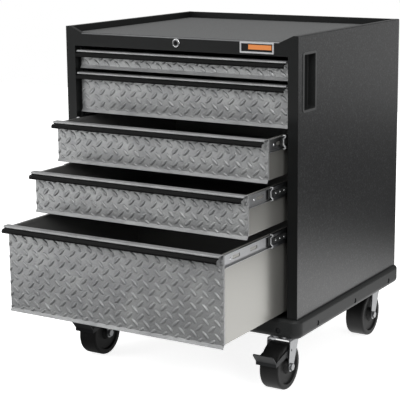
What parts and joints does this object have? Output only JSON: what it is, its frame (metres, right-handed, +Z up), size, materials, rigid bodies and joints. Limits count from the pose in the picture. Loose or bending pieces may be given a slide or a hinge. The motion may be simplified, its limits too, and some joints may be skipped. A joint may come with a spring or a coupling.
{
  "type": "garage drawer cabinet",
  "caption": "Rolling drawer cabinet with treadplate fronts on ball-bearing slides, a lipped top tray with a mat, a key lock, side hand-holds and swivel casters.",
  "frame": {"origin": "centre of the whole object's box on the floor, with the drawers as far open as stored", "axes": "+X to the right seen from the front, +Y from the front to the back, +Z up"},
  "size_m": [0.715, 0.9578, 0.904],
  "materials": {
    "granite_paint": "speckled hammered powder coat",
    "black_paint": "satin powder coat",
    "black_plastic": "moulded, fine grain",
    "dark_steel": "black oxide",
    "zinc_steel": "bright zinc plate",
    "ribbed_mat": "grey, fine ribs",
    "badge_metal": "satin border, black field",
    "lock_chrome": "polished",
    "treadplate": "silver metallic coat on treadplate",
    "pull_black": "satin powder coat",
    "drawer_grey": "light warm grey coat",
    "liner_rubber": "ribbed foam rubber",
    "wheel_rubber": "hard dark rubber",
    "brake_steel": "dark coat"
  },
  "bodies": {
    "cabinet": {"left_side_panel": "granite_paint", "right_side_panel": "granite_paint", "back_panel": "black_paint", "front_frame": "black_paint", "top_tray": "black_paint", "top_mat": "ribbed_mat", "floor_pan": "black_paint", "base_skirt": "black_plastic", "skirt_screws": "dark_steel", "side_hand_holds": "black_plastic", "badge_plate": "badge_metal", "lock_bezel": "lock_chrome", "slide_uprights": "black_paint", "cabinet_slide_members": "zinc_steel", "caster_plates": "zinc_steel", "caster_bolts": "zinc_steel"},
    "drawer_1": {"drawer_1_box": "drawer_grey", "drawer_1_front": "treadplate", "drawer_1_pull": "pull_black", "drawer_1_liner": "liner_rubber", "drawer_1_slide_members": "zinc_steel"},
    "drawer_1_middle": {"drawer_1_middle_slides": "zinc_steel"},
    "drawer_2": {"drawer_2_box": "drawer_grey", "drawer_2_front": "treadplate", "drawer_2_pull": "pull_black", "drawer_2_liner": "liner_rubber", "drawer_2_slide_members": "zinc_steel"},
    "drawer_2_middle": {"drawer_2_middle_slides": "zinc_steel"},
    "drawer_3": {"drawer_3_box": "drawer_grey", "drawer_3_front": "treadplate", "drawer_3_pull": "pull_black", "drawer_3_liner": "liner_rubber", "drawer_3_slide_members": "zinc_steel"},
    "drawer_3_middle": {"drawer_3_middle_slides": "zinc_steel"},
    "drawer_4": {"drawer_4_box": "drawer_grey", "drawer_4_front": "treadplate", "drawer_4_pull": "pull_black", "drawer_4_liner": "liner_rubber", "drawer_4_slide_members": "zinc_steel"},
    "drawer_4_middle": {"drawer_4_middle_slides": "zinc_steel"},
    "drawer_5": {"drawer_5_box": "drawer_grey", "drawer_5_front": "treadplate", "drawer_5_pull": "pull_black", "drawer_5_liner": "liner_rubber", "drawer_5_slide_members": "zinc_steel"},
    "drawer_5_middle": {"drawer_5_middle_slides": "zinc_steel"},
    "front_left_swivel": {"front_left_fork": "zinc_steel"},
    "front_left_roller": {"front_left_wheel": "wheel_rubber"},
    "front_left_brake_pedal": {"front_left_brake": "brake_steel"},
    "front_right_swivel": {"front_right_fork": "zinc_steel"},
    "front_right_roller": {"front_right_wheel": "wheel_rubber"},
    "front_right_brake_pedal": {"front_right_brake": "brake_steel"},
    "rear_left_swivel": {"rear_left_fork": "zinc_steel"},
    "rear_left_roller": {"rear_left_wheel": "wheel_rubber"},
    "rear_right_swivel": {"rear_right_fork": "zinc_steel"},
    "rear_right_roller": {"rear_right_wheel": "wheel_rubber"},
    "lock": {"lock_cylinder": "lock_chrome", "lock_rod": "dark_steel"},
    "lock_bar": {"lock_bar": "dark_steel"}
  },
  "joints": [
    {"name": "drawer_1_slide", "type": "slide", "parent": "cabinet", "child": "drawer_1", "axis": [0, -1, 0], "range_m": [0, 0.5]},
    {"name": "drawer_1_middle_slide", "type": "slide", "parent": "cabinet", "child": "drawer_1_middle", "axis": [0, -1, 0], "range_m": [0, 0.25]},
    {"name": "drawer_2_slide", "type": "slide", "parent": "cabinet", "child": "drawer_2", "axis": [0, -1, 0], "range_m": [0, 0.5]},
    {"name": "drawer_2_middle_slide", "type": "slide", "parent": "cabinet", "child": "drawer_2_middle", "axis": [0, -1, 0], "range_m": [0, 0.25]},
    {"name": "drawer_3_slide", "type": "slide", "parent": "cabinet", "child": "drawer_3", "axis": [0, -1, 0], "range_m": [-0.1108, 0.3892]},
    {"name": "drawer_3_middle_slide", "type": "slide", "parent": "cabinet", "child": "drawer_3_middle", "axis": [0, -1, 0], "range_m": [-0.0554, 0.1946]},
    {"name": "drawer_4_slide", "type": "slide", "parent": "cabinet", "child": "drawer_4", "axis": [0, -1, 0], "range_m": [-0.209, 0.291]},
    {"name": "drawer_4_middle_slide", "type": "slide", "parent": "cabinet", "child": "drawer_4_middle", "axis": [0, -1, 0], "range_m": [-0.1045, 0.1455]},
    {"name": "drawer_5_slide", "type": "slide", "parent": "cabinet", "child": "drawer_5", "axis": [0, -1, 0], "range_m": [-0.3228, 0.1772]},
    {"name": "drawer_5_middle_slide", "type": "slide", "parent": "cabinet", "child": "drawer_5_middle", "axis": [0, -1, 0], "range_m": [-0.1614, 0.0886]},
    {"name": "front_left_swivel_turn", "type": "hinge", "parent": "cabinet", "child": "front_left_swivel", "pos_m": [-0.2816, -0.09383, 0.15], "axis": [0, 0, 1], "continuous": true},
    {"name": "front_left_wheel_spin", "type": "hinge", "parent": "front_left_swivel", "child": "front_left_roller", "pos_m": [-0.2816, -0.11633, 0.0605], "axis": [1, 0, 0], "continuous": true},
    {"name": "front_left_brake_press", "type": "hinge", "parent": "front_left_swivel", "child": "front_left_brake_pedal", "pos_m": [-0.2816, -0.11383, 0.104], "axis": [1, 0, 0], "range_deg": [0, 14]},
    {"name": "front_right_swivel_turn", "type": "hinge", "parent": "cabinet", "child": "front_right_swivel", "pos_m": [0.2816, -0.09383, 0.15], "axis": [0, 0, 1], "continuous": true},
    {"name": "front_right_wheel_spin", "type": "hinge", "parent": "front_right_swivel", "child": "front_right_roller", "pos_m": [0.2816, -0.11633, 0.0605], "axis": [1, 0, 0], "continuous": true},
    {"name": "front_right_brake_press", "type": "hinge", "parent": "front_right_swivel", "child": "front_right_brake_pedal", "pos_m": [0.2816, -0.11383, 0.104], "axis": [1, 0, 0], "range_deg": [0, 14]},
    {"name": "rear_left_swivel_turn", "type": "hinge", "parent": "cabinet", "child": "rear_left_swivel", "pos_m": [-0.2816, 0.41557, 0.15], "axis": [0, 0, 1], "continuous": true},
    {"name": "rear_left_wheel_spin", "type": "hinge", "parent": "rear_left_swivel", "child": "rear_left_roller", "pos_m": [-0.2816, 0.39307, 0.0605], "axis": [1, 0, 0], "continuous": true},
    {"name": "rear_right_swivel_turn", "type": "hinge", "parent": "cabinet", "child": "rear_right_swivel", "pos_m": [0.2816, 0.41557, 0.15], "axis": [0, 0, 1], "continuous": true},
    {"name": "rear_right_wheel_spin", "type": "hinge", "parent": "rear_right_swivel", "child": "rear_right_roller", "pos_m": [0.2816, 0.39307, 0.0605], "axis": [1, 0, 0], "continuous": true},
    {"name": "lock_turn", "type": "hinge", "parent": "cabinet", "child": "lock", "pos_m": [0, -0.14613, 0.873], "axis": [0, 1, 0], "range_deg": [0, 90]},
    {"name": "lock_bar_drop", "type": "slide", "parent": "cabinet", "child": "lock_bar", "axis": [0, 0, -1], "range_m": [0, 0.0099]}
  ],
  "couplings": [
    {"joint": "drawer_1_middle_slide", "follows": "drawer_1_slide", "ratio": 0.5},
    {"joint": "drawer_2_middle_slide", "follows": "drawer_2_slide", "ratio": 0.5},
    {"joint": "drawer_3_middle_slide", "follows": "drawer_3_slide", "ratio": 0.5},
    {"joint": "drawer_4_middle_slide", "follows": "drawer_4_slide", "ratio": 0.5},
    {"joint": "drawer_5_middle_slide", "follows": "drawer_5_slide", "ratio": 0.5},
    {"joint": "lock_turn", "follows": "lock_bar_drop", "rad_per_m": 158.66}
  ]
}
